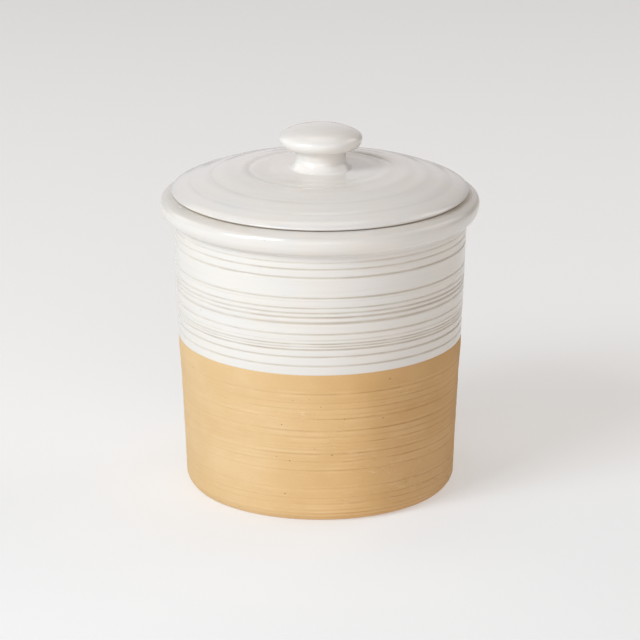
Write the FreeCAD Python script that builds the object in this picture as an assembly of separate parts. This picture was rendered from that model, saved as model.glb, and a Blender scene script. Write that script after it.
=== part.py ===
"""Garlic keeper: a wheel-thrown stoneware jar with a loose lid.

Millimetres, +Z up. The origin is the middle of the ring that the jar stands on.
Every piece is a solid of revolution about Z, drawn as half of its cross-section.
A cross-section is a chain of straight runs and rounds through (radius, height) points.

The jar is clay with two coats of glaze: one outside, from the glaze line up and over the
rim, and one inside. The lid is a clay disc with a collar that hangs into the mouth, a clay
knob luted on top, and one coat of glaze over both. A coat lies on its clay, so each glazed
outline is drawn twice: at the surface, and one coat deeper.
"""
import FreeCAD
import Part
import math
import os

# ---- jar, outside ----
WALL_RADIUS_AT_BASE = 59.4      # where the wall's straight line would meet the table
WALL_RADIUS_AT_NECK = 64.4      # just under the rolled rim
NECK_HEIGHT = 122.3             # underside of the rolled rim
BASE_CORNER_REACH = 4.5
BASE_CORNER_RISE = 6.2
BARE_BAND_HEIGHT = 68.4         # bare clay up to here, glaze above
FOOT_RECESS_RADIUS = 41.0
FOOT_RECESS_DEPTH = 1.5
FOOT_RECESS_ROUND = 1.0

# ---- rolled rim ----
RIM_OVERHANG = 5.6              # how far the roll stands out from the wall
RIM_ROLL_DROP = 6.1             # from the widest ring down to the underside
RIM_UNDER_REACH = 4.0           # how far in the roll's underside curves
RIM_COVE = 1.6                  # hollow where the underside meets the wall
RIM_SHOULDER_REACH = 1.7
RIM_SHOULDER_RISE = 2.8
RIM_LAND_RISE = 1.5             # the land climbs this much from the shoulder to the seat
SEAT_WIDTH = 5.4                # flat ring that the lid rests on, with the lip's round
LIP_ROUND = 1.2

# ---- jar, inside ----
WALL_THICKNESS = 4.9
FLOOR_THICKNESS = 6.0
FLOOR_CORNER_ROUND = 9.0

# ---- glaze ----
COAT = 0.4

# ---- lid ----
LID_SET_IN = 3.2                # from the rim's shoulder in to the lid's edge
LID_UNDERCUT_REACH = 1.9        # the underside tilts up over its last stretch, to the edge
LID_UNDERCUT_RISE = 0.7
LID_LIP_REACH = 3.0             # the lip rounds over from the edge to the foot of the dome
LID_LIP_HEIGHT = 2.6
LID_FALL_DEG = 23.0             # slope of the dome at its foot
LID_RISE = 7.5                  # from the foot of the dome up to the flat middle
LID_THICKNESS = 5.2             # in the flat middle
LID_HOLLOW_RISE = 6.4           # how far the hollow underside climbs from the collar
COLLAR_CLEARANCE = 1.2          # all round, between the collar and the mouth
COLLAR_DEPTH = 8.0
COLLAR_THICKNESS = 4.0
COLLAR_ROUND = 1.5

# ---- knob ----
KNOB_RADIUS = 18.3
KNOB_WIDEST_HEIGHT = 13.4       # above the lid's flat middle
KNOB_CROWN = 5.65
KNOB_UNDER_DROP = 4.6
KNOB_UNDER_REACH = 4.9
KNOB_NECK_RADIUS = 11.1
KNOB_NECK_COVE = 1.6            # height of the hollow under the knob
KNOB_FLARE = 3.7                # the neck flares out this much, and this high, at its foot
KNOB_SEAT_DEPTH = 0.6           # the knob's foot is let into the disc

# ---- heights and radii that follow ----
RIM_WIDEST_Z = NECK_HEIGHT + RIM_ROLL_DROP
SHOULDER_Z = RIM_WIDEST_Z + RIM_SHOULDER_RISE
SEAT_Z = SHOULDER_Z + RIM_LAND_RISE
RIM_RADIUS = WALL_RADIUS_AT_NECK + RIM_OVERHANG
SHOULDER_RADIUS = RIM_RADIUS - RIM_SHOULDER_REACH
MOUTH_RADIUS = WALL_RADIUS_AT_NECK - WALL_THICKNESS
SEAT_RADIUS = MOUTH_RADIUS + SEAT_WIDTH
FLOOR_Z = FOOT_RECESS_DEPTH + FLOOR_THICKNESS
FLOOR_RADIUS = WALL_RADIUS_AT_BASE - WALL_THICKNESS

LID_RADIUS = SHOULDER_RADIUS - LID_SET_IN
LID_EDGE_Z = SEAT_Z + LID_UNDERCUT_RISE
DOME_FOOT_RADIUS = LID_RADIUS - LID_LIP_REACH
DOME_FOOT_Z = LID_EDGE_Z + LID_LIP_HEIGHT
LID_TOP_Z = DOME_FOOT_Z + LID_RISE
COLLAR_RADIUS = MOUTH_RADIUS - COLLAR_CLEARANCE
COLLAR_INNER_RADIUS = COLLAR_RADIUS - COLLAR_THICKNESS
COLLAR_BOTTOM_Z = SEAT_Z - COLLAR_DEPTH
LID_CLAY_TOP_Z = LID_TOP_Z - COAT
KNOB_SEAT_Z = LID_CLAY_TOP_Z - KNOB_SEAT_DEPTH
KNOB_WIDEST_Z = LID_TOP_Z + KNOB_WIDEST_HEIGHT
KNOB_FOOT_RADIUS = KNOB_NECK_RADIUS + KNOB_FLARE

QUARTER_ROUND_WEIGHT = math.sqrt(0.5)   # makes the Bezier below an exact quarter ellipse


def point(place):
    radius, height = place
    return FreeCAD.Vector(radius, 0, height)


def run(start, end):
    """A straight run from start to end."""
    return Part.makeLine(point(start), point(end))


def round_off(start, corner, end):
    """A round that leaves start towards corner and arrives at end from corner."""
    curve = Part.BezierCurve()
    curve.setPoles([point(start), point(corner), point(end)])
    curve.setWeight(2, QUARTER_ROUND_WEIGHT)
    return curve.toShape()


def sweep(start, towards, away, end):
    """A long gentle curve that leaves start towards one point and arrives from another."""
    curve = Part.BezierCurve()
    curve.setPoles([point(start), point(towards), point(away), point(end)])
    return curve.toShape()


def first_place(edge):
    spot = edge.valueAt(edge.FirstParameter)
    return (spot.x, spot.z)


def last_place(edge):
    spot = edge.valueAt(edge.LastParameter)
    return (spot.x, spot.z)


def turned(edges):
    """The solid that a closed chain of edges makes, turned once round Z."""
    wire = Part.Wire(Part.__sortEdges__(edges))
    solid = Part.Face(wire).revolve(FreeCAD.Vector(0, 0, 0), FreeCAD.Vector(0, 0, 1), 360)
    return solid


def coat_between(outer_edges, inner_edges):
    """The thin solid between a glazed outline and the same outline one coat deeper."""
    start_cap = run(first_place(inner_edges[0]), first_place(outer_edges[0]))
    end_cap = run(last_place(outer_edges[-1]), last_place(inner_edges[-1]))
    return turned(outer_edges + [end_cap] + inner_edges + [start_cap])


def wall_radius(height):
    """Radius of the jar's outside wall, which widens evenly towards the neck."""
    share = height / NECK_HEIGHT
    return WALL_RADIUS_AT_BASE + (WALL_RADIUS_AT_NECK - WALL_RADIUS_AT_BASE) * share


def jar_outside(depth):
    """Glazed outline of the jar, from the glaze line up and over the rim to the lip."""
    line_end = (wall_radius(BARE_BAND_HEIGHT) - depth, BARE_BAND_HEIGHT)
    cove_z = NECK_HEIGHT - RIM_COVE
    wall_top = (wall_radius(cove_z) - depth, cove_z)
    under_in = (RIM_RADIUS - RIM_UNDER_REACH, NECK_HEIGHT + depth)
    widest = (RIM_RADIUS - depth, RIM_WIDEST_Z)
    shoulder = (SHOULDER_RADIUS, SHOULDER_Z - depth)
    seat_out = (SEAT_RADIUS, SEAT_Z - depth)
    land_slope = RIM_LAND_RISE / (SHOULDER_RADIUS - SEAT_RADIUS)
    shoulder_corner = (widest[0], shoulder[1] - land_slope * (widest[0] - shoulder[0]))
    lip_start = (MOUTH_RADIUS + LIP_ROUND, SEAT_Z - depth)
    return [
        run(line_end, wall_top),
        round_off(wall_top, (wall_top[0], under_in[1]), under_in),
        round_off(under_in, (widest[0], under_in[1]), widest),
        round_off(widest, shoulder_corner, shoulder),
        run(shoulder, seat_out),
        run(seat_out, lip_start),
    ]


def jar_inside(depth):
    """Glazed outline of the jar's inside, from the lip down to the middle of the floor."""
    lip_start = (MOUTH_RADIUS + LIP_ROUND, SEAT_Z - depth)
    lip_end = (MOUTH_RADIUS + depth, SEAT_Z - LIP_ROUND)
    wall_foot = (FLOOR_RADIUS + depth, FLOOR_Z + FLOOR_CORNER_ROUND)
    floor_edge = (FLOOR_RADIUS - FLOOR_CORNER_ROUND, FLOOR_Z - depth)
    return [
        round_off(lip_start, (lip_end[0], lip_start[1]), lip_end),
        run(lip_end, wall_foot),
        round_off(wall_foot, (wall_foot[0], floor_edge[1]), floor_edge),
        run(floor_edge, (0, FLOOR_Z - depth)),
    ]


def jar_body():
    """The fired clay of the jar: foot ring, wall, rolled rim and floor."""
    recess_top = FOOT_RECESS_RADIUS - FOOT_RECESS_ROUND
    recess_wall = (FOOT_RECESS_RADIUS, FOOT_RECESS_DEPTH - FOOT_RECESS_ROUND)
    stand_out = (wall_radius(0) - BASE_CORNER_REACH, 0)
    corner_top = (wall_radius(BASE_CORNER_RISE), BASE_CORNER_RISE)
    glaze_line = (wall_radius(BARE_BAND_HEIGHT), BARE_BAND_HEIGHT)
    outside = jar_outside(COAT)
    inside = jar_inside(COAT)
    bare = [
        run((0, FOOT_RECESS_DEPTH), (recess_top, FOOT_RECESS_DEPTH)),
        round_off((recess_top, FOOT_RECESS_DEPTH), (FOOT_RECESS_RADIUS, FOOT_RECESS_DEPTH), recess_wall),
        run(recess_wall, (FOOT_RECESS_RADIUS, 0)),
        run((FOOT_RECESS_RADIUS, 0), stand_out),
        round_off(stand_out, (wall_radius(0), 0), corner_top),
        run(corner_top, glaze_line),
        run(glaze_line, first_place(outside[0])),
    ]
    axis = run((0, FLOOR_Z - COAT), (0, FOOT_RECESS_DEPTH))
    return turned(bare + outside + inside + [axis])


def band_glaze():
    """White glaze outside: the upper band of the wall, the rim and its land."""
    return coat_between(jar_outside(0), jar_outside(COAT))


def liner_glaze():
    """White glaze poured inside: the lip, the wall and the floor."""
    return coat_between(jar_inside(0), jar_inside(COAT))


def lid_outside(depth):
    """Glazed outline of the disc, from its lower edge over the lip and dome to the knob's foot."""
    fall = math.radians(LID_FALL_DEG)
    undercut_slope = LID_UNDERCUT_RISE / LID_UNDERCUT_REACH
    edge = (LID_RADIUS - depth, LID_EDGE_Z - depth * undercut_slope)
    dome_foot = (DOME_FOOT_RADIUS - depth * math.sin(fall), DOME_FOOT_Z - depth * math.cos(fall))
    lip_corner = (edge[0], dome_foot[1] - (edge[0] - dome_foot[0]) * math.tan(fall))
    top_z = LID_TOP_Z - depth
    lean = (top_z - dome_foot[1]) / math.tan(fall)
    flat_edge = (KNOB_FOOT_RADIUS, top_z)
    flat_lean = (KNOB_FOOT_RADIUS + (dome_foot[0] - KNOB_FOOT_RADIUS) / 3, top_z)
    return [
        round_off(edge, lip_corner, dome_foot),
        sweep(dome_foot, (dome_foot[0] - lean, top_z), flat_lean, flat_edge),
    ]


def knob_outside(depth):
    """Glazed outline of the knob, from its foot on the disc up to the middle of its crown."""
    foot = (KNOB_FOOT_RADIUS, LID_TOP_Z - depth)
    neck = KNOB_NECK_RADIUS - depth
    under_z = KNOB_WIDEST_Z - KNOB_UNDER_DROP + depth
    flare_top = (neck, LID_TOP_Z + KNOB_FLARE)
    neck_top = (neck, KNOB_WIDEST_Z - KNOB_UNDER_DROP - KNOB_NECK_COVE)
    under_in = (KNOB_RADIUS - KNOB_UNDER_REACH, under_z)
    widest = (KNOB_RADIUS - depth, KNOB_WIDEST_Z)
    crown = (0, KNOB_WIDEST_Z + KNOB_CROWN - depth)
    return [
        round_off(foot, (neck, foot[1]), flare_top),
        run(flare_top, neck_top),
        round_off(neck_top, (neck, under_z), under_in),
        round_off(under_in, (widest[0], under_z), widest),
        round_off(widest, (widest[0], crown[1]), crown),
    ]


def lid_disc():
    """The fired clay of the lid: domed disc, flange that rests on the seat, locating collar."""
    outside = lid_outside(COAT)
    hollow_z = LID_TOP_Z - LID_THICKNESS
    hollow_foot_z = hollow_z - LID_HOLLOW_RISE
    hollow_third = (COLLAR_INNER_RADIUS - KNOB_FOOT_RADIUS) / 3
    inner_start = (COLLAR_INNER_RADIUS, COLLAR_BOTTOM_Z + COLLAR_ROUND)
    inner_end = (COLLAR_INNER_RADIUS + COLLAR_ROUND, COLLAR_BOTTOM_Z)
    outer_start = (COLLAR_RADIUS - COLLAR_ROUND, COLLAR_BOTTOM_Z)
    outer_end = (COLLAR_RADIUS, COLLAR_BOTTOM_Z + COLLAR_ROUND)
    flange_edge = (LID_RADIUS - LID_UNDERCUT_REACH, SEAT_Z)
    underside = [
        run((0, KNOB_SEAT_Z), (0, hollow_z)),
        run((0, hollow_z), (KNOB_FOOT_RADIUS, hollow_z)),
        sweep(
            (KNOB_FOOT_RADIUS, hollow_z),
            (KNOB_FOOT_RADIUS + hollow_third, hollow_z),
            (COLLAR_INNER_RADIUS - hollow_third, hollow_z),
            (COLLAR_INNER_RADIUS, hollow_foot_z),
        ),
        run((COLLAR_INNER_RADIUS, hollow_foot_z), inner_start),
        round_off(inner_start, (COLLAR_INNER_RADIUS, COLLAR_BOTTOM_Z), inner_end),
        run(inner_end, outer_start),
        round_off(outer_start, (COLLAR_RADIUS, COLLAR_BOTTOM_Z), outer_end),
        run(outer_end, (COLLAR_RADIUS, SEAT_Z)),
        run((COLLAR_RADIUS, SEAT_Z), flange_edge),
        run(flange_edge, first_place(outside[0])),
    ]
    knob_seat = [
        run((KNOB_FOOT_RADIUS, LID_CLAY_TOP_Z), (KNOB_FOOT_RADIUS, KNOB_SEAT_Z)),
        run((KNOB_FOOT_RADIUS, KNOB_SEAT_Z), (0, KNOB_SEAT_Z)),
    ]
    return turned(underside + outside + knob_seat)


def lid_knob():
    """The fired clay of the knob, let into the middle of the disc."""
    outside = knob_outside(COAT)
    foot = [
        run((0, KNOB_SEAT_Z), (KNOB_FOOT_RADIUS, KNOB_SEAT_Z)),
        run((KNOB_FOOT_RADIUS, KNOB_SEAT_Z), (KNOB_FOOT_RADIUS, LID_CLAY_TOP_Z)),
    ]
    axis = run(last_place(outside[-1]), (0, KNOB_SEAT_Z))
    return turned(foot + outside + [axis])


def lid_glaze():
    """White glaze over the lid: the lip, the dome and the whole knob."""
    surface = lid_outside(0) + knob_outside(0)
    deeper = lid_outside(COAT) + knob_outside(COAT)
    return coat_between(surface, deeper)


def main():
    os.makedirs("parts", exist_ok=True)
    nodes = {
        "jar_body": jar_body(),
        "band_glaze": band_glaze(),
        "liner_glaze": liner_glaze(),
        "lid_disc": lid_disc(),
        "lid_knob": lid_knob(),
        "lid_glaze": lid_glaze(),
    }
    for name, shape in nodes.items():
        shape.exportStep("parts/" + name + ".step")
        box = shape.BoundBox
        print(
            name,
            shape.ShapeType,
            "valid" if shape.isValid() else "NOT VALID",
            "volume %.1f" % shape.Volume,
            "z %.2f to %.2f" % (box.ZMin, box.ZMax),
            "width %.2f" % box.XLength,
        )


main()
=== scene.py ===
"""Garlic keeper: the thrown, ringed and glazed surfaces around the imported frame.

Every piece is a solid of revolution with the marks that throwing leaves: grooves that the
glaze breaks over, shallow rings on the lid, a slightly uneven wall. A piece is a chain of
(radius, height) places, walked with its solid on the left, pushed along its own normals and
turned once round Z in COLUMNS steps. Lengths are millimetres until a mesh is made. Angles
round the pot are degrees: +X is 0, the back 90, the left 180 and the front -90.
"""
import math

import bpy
import numpy as np
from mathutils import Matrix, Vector


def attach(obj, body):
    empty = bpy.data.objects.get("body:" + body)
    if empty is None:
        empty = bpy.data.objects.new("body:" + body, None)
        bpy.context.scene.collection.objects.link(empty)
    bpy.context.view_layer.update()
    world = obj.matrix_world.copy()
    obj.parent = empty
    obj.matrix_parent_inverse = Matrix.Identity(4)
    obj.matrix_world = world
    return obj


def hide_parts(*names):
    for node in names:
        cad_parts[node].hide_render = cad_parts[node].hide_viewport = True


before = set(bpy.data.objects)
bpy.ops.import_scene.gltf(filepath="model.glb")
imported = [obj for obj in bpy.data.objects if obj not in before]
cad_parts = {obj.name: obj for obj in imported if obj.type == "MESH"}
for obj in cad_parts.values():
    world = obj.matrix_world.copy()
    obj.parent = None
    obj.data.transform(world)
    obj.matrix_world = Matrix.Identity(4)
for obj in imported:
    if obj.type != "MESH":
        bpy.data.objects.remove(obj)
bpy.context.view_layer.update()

MM = 0.001
TURN = 2 * math.pi
COLUMNS = 256
ANGLES = math.pi / 2 + TURN * np.arange(COLUMNS) / COLUMNS  # the first column is at the back
random = np.random.default_rng(20)

# ---- the part's own values, as in its source ----
WALL_RADIUS_AT_BASE = 59.4
WALL_RADIUS_AT_NECK = 64.4
NECK_HEIGHT = 122.3
BASE_CORNER_REACH = 4.5
BASE_CORNER_RISE = 6.2
BARE_BAND_HEIGHT = 68.4
FOOT_RECESS_RADIUS = 41.0
FOOT_RECESS_DEPTH = 1.5
FOOT_RECESS_ROUND = 1.0
RIM_OVERHANG = 5.6
RIM_ROLL_DROP = 6.1
RIM_UNDER_REACH = 4.0
RIM_COVE = 1.6
RIM_SHOULDER_REACH = 1.7
RIM_SHOULDER_RISE = 2.8
RIM_LAND_RISE = 1.5
SEAT_WIDTH = 5.4
LIP_ROUND = 1.2
WALL_THICKNESS = 4.9
FLOOR_THICKNESS = 6.0
FLOOR_CORNER_ROUND = 9.0
LID_SET_IN = 3.2
LID_UNDERCUT_REACH = 1.9
LID_UNDERCUT_RISE = 0.7
LID_LIP_REACH = 3.0
LID_LIP_HEIGHT = 2.6
LID_FALL_DEG = 23.0
LID_RISE = 7.5
LID_THICKNESS = 5.2
LID_HOLLOW_RISE = 6.4
COLLAR_CLEARANCE = 1.2
COLLAR_DEPTH = 8.0
COLLAR_THICKNESS = 4.0
COLLAR_ROUND = 1.5
KNOB_RADIUS = 18.3
KNOB_WIDEST_HEIGHT = 13.4
KNOB_CROWN = 5.65
KNOB_UNDER_DROP = 4.6
KNOB_UNDER_REACH = 4.9
KNOB_NECK_RADIUS = 11.1
KNOB_NECK_COVE = 1.6
KNOB_FLARE = 3.7
KNOB_SEAT_DEPTH = 0.6

WALL_TOP_Z = NECK_HEIGHT - RIM_COVE
RIM_WIDEST_Z = NECK_HEIGHT + RIM_ROLL_DROP
SHOULDER_Z = RIM_WIDEST_Z + RIM_SHOULDER_RISE
SEAT_Z = SHOULDER_Z + RIM_LAND_RISE
RIM_RADIUS = WALL_RADIUS_AT_NECK + RIM_OVERHANG
SHOULDER_RADIUS = RIM_RADIUS - RIM_SHOULDER_REACH
MOUTH_RADIUS = WALL_RADIUS_AT_NECK - WALL_THICKNESS
LIP_RADIUS = MOUTH_RADIUS + LIP_ROUND
SEAT_RADIUS = MOUTH_RADIUS + SEAT_WIDTH
FLOOR_Z = FOOT_RECESS_DEPTH + FLOOR_THICKNESS
FLOOR_RADIUS = WALL_RADIUS_AT_BASE - WALL_THICKNESS
LID_RADIUS = SHOULDER_RADIUS - LID_SET_IN
LID_EDGE_Z = SEAT_Z + LID_UNDERCUT_RISE
DOME_FOOT_RADIUS = LID_RADIUS - LID_LIP_REACH
DOME_FOOT_Z = LID_EDGE_Z + LID_LIP_HEIGHT
LID_TOP_Z = DOME_FOOT_Z + LID_RISE
COLLAR_RADIUS = MOUTH_RADIUS - COLLAR_CLEARANCE
COLLAR_INNER_RADIUS = COLLAR_RADIUS - COLLAR_THICKNESS
COLLAR_BOTTOM_Z = SEAT_Z - COLLAR_DEPTH
KNOB_WIDEST_Z = LID_TOP_Z + KNOB_WIDEST_HEIGHT
KNOB_FOOT_RADIUS = KNOB_NECK_RADIUS + KNOB_FLARE

# ---- how the pieces lie in each other ----
GLAZE_DEPTH = 0.75  # how deep the jar's glaze pieces reach into the clay
CLAY_DEPTH = 0.60  # how far the jar's clay lies under its glazed surface
LID_GLAZE_DEPTH = 1.05
LID_CLAY_DEPTH = 0.90
CLAY_RUNS_ON = 0.4  # how far the bare wall climbs behind the glaze's edge
CLAY_STEPPED_IN = 1.2  # how far above the glaze line the clay has stepped in

# ---- lines and rings ----
# Throwing lines in the glazed band: height, depth, half width, how much clay shows through.
GLAZED_LINES = [
    (118.7, 0.15, 0.44, 0.85), (115.6, 0.17, 0.46, 0.90), (111.8, 0.22, 0.50, 0.95),
    (102.7, 0.20, 0.48, 0.90), (101.3, 0.05, 0.40, 0.25), (98.2, 0.16, 0.44, 0.78),
    (96.0, 0.18, 0.46, 0.90), (94.0, 0.20, 0.50, 0.95), (91.5, 0.18, 0.62, 0.92),
    (86.5, 0.17, 0.46, 0.85), (83.9, 0.06, 0.40, 0.50), (82.2, 0.15, 0.40, 0.85),
    (81.0, 0.15, 0.40, 0.78), (79.6, 0.18, 0.44, 1.05), (76.4, 0.19, 0.46, 0.95),
    (72.3, 0.17, 0.46, 0.90),
]
# Turning lines in the bare clay: height, depth, half width, how dark.
CLAY_LINES = [
    (59.5, 0.09, 0.42, 0.60), (55.3, 0.06, 0.38, 0.45), (52.4, 0.08, 0.40, 0.42),
    (49.9, 0.05, 0.36, 0.35), (47.9, 0.11, 0.42, 0.66), (42.3, 0.10, 0.42, 0.62),
    (39.4, 0.08, 0.38, 0.52), (36.6, 0.09, 0.38, 0.58), (34.7, 0.05, 0.34, 0.20),
    (33.6, 0.05, 0.34, 0.22), (31.6, 0.09, 0.40, 0.55), (27.9, 0.09, 0.38, 0.55),
    (23.9, 0.10, 0.42, 0.52), (15.5, 0.09, 0.40, 0.45), (11.1, 0.08, 0.38, 0.56),
    (8.4, 0.08, 0.38, 0.50), (5.5, 0.08, 0.42, 0.46), (3.7, 0.07, 0.40, 0.44),
    (1.9, 0.05, 0.36, 0.34),
]
LINE_ROWS = (0.0, 0.35, 0.70, 1.05, 1.5, 2.1)  # mesh rows beside a line, in half widths
LINE_REACH = 2.4  # half widths of a line in which there are no other rows
LEAST_ROW_GAP = 0.09
LINE_LEVEL = 1.03  # how strongly a line shows where nothing changes it
LINE_LEAST, LINE_MOST = 0.2, 1.3
LINE_PATCHES = (0.35, 0.3, 0.3, 0.25, 0.2, 0.2)  # and how that varies round the pot
LINE_TINT_WIDTH = 0.92  # in half widths, as is the place of the bank beside the line
BANK_PLACE, BANK_SPREAD = 2.1, 0.8
LIT_SIDE_FADE = (190, 2)  # where the lines are weakened on the lit left, as painted light: degrees and narrowness

# Shallow valleys turned into the lid's top: radius, depth, half width, and how grey the valley is
# painted, as thick glaze and as painted shade.
LID_RINGS = [
    (26.6, 0.10, 1.2, 0.1), (31.9, 0.40, 1.6, 0.55), (48.0, 0.15, 1.5, 0.45),
    (57.0, 0.10, 1.3, 0.5),
]
DEEP_RING = 31.9
RING_SHADE_WIDTH = 0.75
RING_DRIFT = (0.21, 0.15, 0.072)  # how far a ring wanders in and out
RING_PATCHES = (0.15, 0.105, 0.06)  # how its strength varies, within the two limits
RING_LEAST, RING_MOST = 0.5, 1.4
RING_DEPTH_MOST = 0.75

# ---- what the wall does between the lines ----
# How far it leaves its straight taper, by height.
CLAY_SWELL = [(0, -0.05), (10, -0.25), (32, -0.20), (50, -0.12), (57, 0.05), (63, 0.40),
              (66.5, 0.32), (67.9, 0.15), (140, 0.15)]
GLAZE_SWELL = [(67.0, 0.22), (72, 0.22), (90, 0.25), (110, 0.18), (119, 0.05), (140, 0.0)]
# How strongly its marks show, by height: not on the very foot, nor where it is covered.
CLAY_MARKS_FADE = [(0.3, 0), (1.9, 1), (BARE_BAND_HEIGHT + 0.3, 1), (BARE_BAND_HEIGHT + 0.5, 0)]
GLAZE_MARKS_END = [(117.5, 1), (121.0, 0)]
GLAZE_DRIFT_FADE = [(115, 1), (120, 0.3)]
# Uneven turning: its size, and over how many rows it is smoothed.
CLAY_ROW_NOISE = [(0.010, 2), (0.03, 12)]
GLAZE_ROW_NOISE = [(0.008, 2), (0.035, 14)]
# How far the rows drift up and down, for 1 to 4 waves a turn, and how the waves move with height.
WANDER = (0.10, 0.07, 0.05, 0.03)
WANDER_START, WANDER_TWIST, WANDER_TWIST_STEP = 1.7, 0.035, 0.02
RIDGE_HEIGHT = 0.03  # a bank this high has its full pale colour


# ---- chains of places ----
QUARTER_WEIGHT = math.sqrt(0.5)  # makes a rational curve of three places a quarter ellipse
LEAST_STRETCH = 0.02  # every stretch of a chain gets at least this much of the map


def straight(start, end, step):
    """Places from start up to, and without, end."""
    start, end = np.array(start, float), np.array(end, float)
    count = max(1, int(math.ceil(np.linalg.norm(end - start) / step)))
    return start + (end - start) * (np.arange(count) / count)[:, None]


def blended(weights, places):
    return sum(weight * np.array(place, float) for weight, place in zip(weights, places))


def quarter(start, corner, end, count):
    """The quarter ellipse that the part's source rounds its corners with, without end."""
    count = max(3, round(count))
    t = (np.arange(count) / count)[:, None]
    weights = [(1 - t) ** 2, 2 * QUARTER_WEIGHT * t * (1 - t), t ** 2]
    return blended(weights, (start, corner, end)) / sum(weights)


def sweep(start, towards, away, end, count):
    """A cubic curve that leaves start towards one place and comes to end from another."""
    count = max(3, round(count))
    t = (np.arange(count) / count)[:, None]
    weights = [(1 - t) ** 3, 3 * t * (1 - t) ** 2, 3 * t ** 2 * (1 - t), t ** 3]
    return blended(weights, (start, towards, away, end))


def eased(knots, at):
    """A curve through the knots that is level at each of them."""
    x, y = np.array(knots, float).T
    at = np.clip(at, x[0], x[-1])
    i = np.clip(np.searchsorted(x, at, side="right") - 1, 0, len(x) - 2)
    share = (at - x[i]) / (x[i + 1] - x[i])
    return y[i] + (y[i + 1] - y[i]) * share ** 2 * (3 - 2 * share)


def hump(at, centre, half_width):
    """1 at the centre, falling off smoothly to both sides."""
    return np.exp(-((at - centre) / half_width) ** 2)


def wall_place(height, depth=0):
    """A place on the wall's straight taper, or some depth inside it."""
    growth = (WALL_RADIUS_AT_NECK - WALL_RADIUS_AT_BASE) * (height / NECK_HEIGHT)
    return WALL_RADIUS_AT_BASE + growth - depth, height


def wall_heights(low, high, lines, step):
    """Heights of the rows of a wall: an even spacing, and a fine one across each of the lines."""
    heights = [low] + list(np.arange(low + step, high - step / 2, step))
    for centre, _, half_width, _ in lines:
        heights = [h for h in heights if abs(h - centre) > LINE_REACH * half_width]
    for centre, _, half_width, _ in lines:
        heights += [centre + side * mark * half_width for mark in LINE_ROWS for side in (-1, 1)]
    heights = sorted(h for h in heights if low <= h < high)
    kept = [heights[0]]
    for height in heights[1:]:
        if height - kept[-1] > LEAST_ROW_GAP:
            kept.append(height)
    return np.array(kept)


def joined(parts):
    """One chain from several, and the row at which each part starts."""
    starts = np.cumsum([0] + [len(part) for part in parts])
    return np.vstack(parts), list(starts)


def travelled(chain):
    """How far along the chain each row lies."""
    return np.cumsum(np.append(0, np.linalg.norm(np.diff(chain, axis=0), axis=1)))


def stretches(chain, hidden, hidden_share, closed=False):
    """Length of the stretch after each row, with the hidden ones made short for the map."""
    lengths = np.linalg.norm(np.roll(chain, -1, 0) - chain, axis=1)
    weights = np.maximum(lengths, LEAST_STRETCH) * np.where(hidden, hidden_share, 1.0)
    return weights if closed else weights[:-1]


# ---- what the potter's hand does ----
def ripple(strengths):
    """A smooth random wave round the pot. strengths are those of 1, 2, 3 and more waves a turn."""
    wave = np.zeros(COLUMNS)
    for turns, strength in enumerate(strengths, 1):
        wave += strength * np.cos(turns * ANGLES + random.uniform(0, TURN))
    return wave


def around(degrees, narrowness):
    """1 at an angle round the pot, falling off smoothly to both sides."""
    return np.exp(narrowness * (np.cos(ANGLES - math.radians(degrees)) - 1))


def waves(table):
    """A fixed wave round the pot, from rows of (waves a turn, size, start)."""
    return sum(size * np.cos(turns * ANGLES + start) for turns, size, start in table)


def spiral(along, table, way=1):
    """What fingers leave that move by a pitch each turn, from rows of (depth, pitch, start)."""
    return sum(depth * np.cos(along[:, None] * TURN / pitch + way * ANGLES + start)
               for depth, pitch, start in table)


def wander(height):
    """How far the rows of a wall drift up and down round the pot."""
    drift = np.zeros((len(height), COLUMNS))
    for turns, strength in enumerate(WANDER, 1):
        phase = WANDER_START * turns ** 2 + height * (WANDER_TWIST + WANDER_TWIST_STEP * turns)
        drift += strength * np.cos(turns * ANGLES + phase[:, None])
    return drift


def line_marks(height, lines, patchy, shade_side_share, bank_share, lit_side_share):
    """The depth of the lines at each row and column, and how strongly each shows.

    The lines are deeper and darker towards +X, by the share called shade_side_share, and weaker
    on the left, by lit_side_share: a real change of depth, with painted shade and painted light in
    their tint. A bank rises beside each of the lines, bank_share of their depth.
    """
    depth = np.zeros((len(height), COLUMNS))
    shown = np.zeros((len(height), COLUMNS))
    lit_side_fade = lit_side_share * around(*LIT_SIDE_FADE)
    for centre, line_depth, half_width, tint in lines:
        fade = LINE_LEVEL + patchy * ripple(LINE_PATCHES) + shade_side_share * np.cos(ANGLES)
        fade = np.clip(fade, LINE_LEAST, LINE_MOST) * (1 - lit_side_fade)
        across = (height[:, None] - centre) / half_width
        bank = np.exp(-(np.abs(across) - BANK_PLACE) ** 2 / BANK_SPREAD)
        depth += line_depth * fade * (hump(across, 0, 1) - bank_share * bank)
        shown = np.maximum(shown, tint * fade * hump(across, 0, LINE_TINT_WIDTH))
    return depth, shown


def row_noise(count, layers):
    """Uneven turning: a random height for each row, from layers of (size, rows averaged over)."""
    total = np.zeros(count)
    for size, reach in layers:
        noise = random.normal(0, 1, count + 2 * reach)
        window = np.hanning(2 * reach + 1)
        total += size * np.convolve(noise, window / math.sqrt((window ** 2).sum()), "valid")
    return total[:, None]


# ---- meshes ----
MAP_SIDE_MARGIN = 0.002
MAP_END_MARGIN = 0.004


def normals_of(chain, closed):
    """Unit normals of a chain walked with its solid on the left, pointing out of the solid."""
    before, after = np.roll(chain, 1, 0), np.roll(chain, -1, 0)
    if not closed:
        before[0], after[-1] = chain[0], chain[-1]
    along = after - before
    out = np.stack([along[:, 1], -along[:, 0]], 1)
    return out / np.linalg.norm(out, axis=1)[:, None]


def pushed(chain, push, closed=False):
    """Radii and heights, rows by COLUMNS, of a chain pushed along its normals."""
    out = normals_of(chain, closed)
    return chain[:, 0, None] + out[:, 0, None] * push, chain[:, 1, None] + out[:, 1, None] * push


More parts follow.
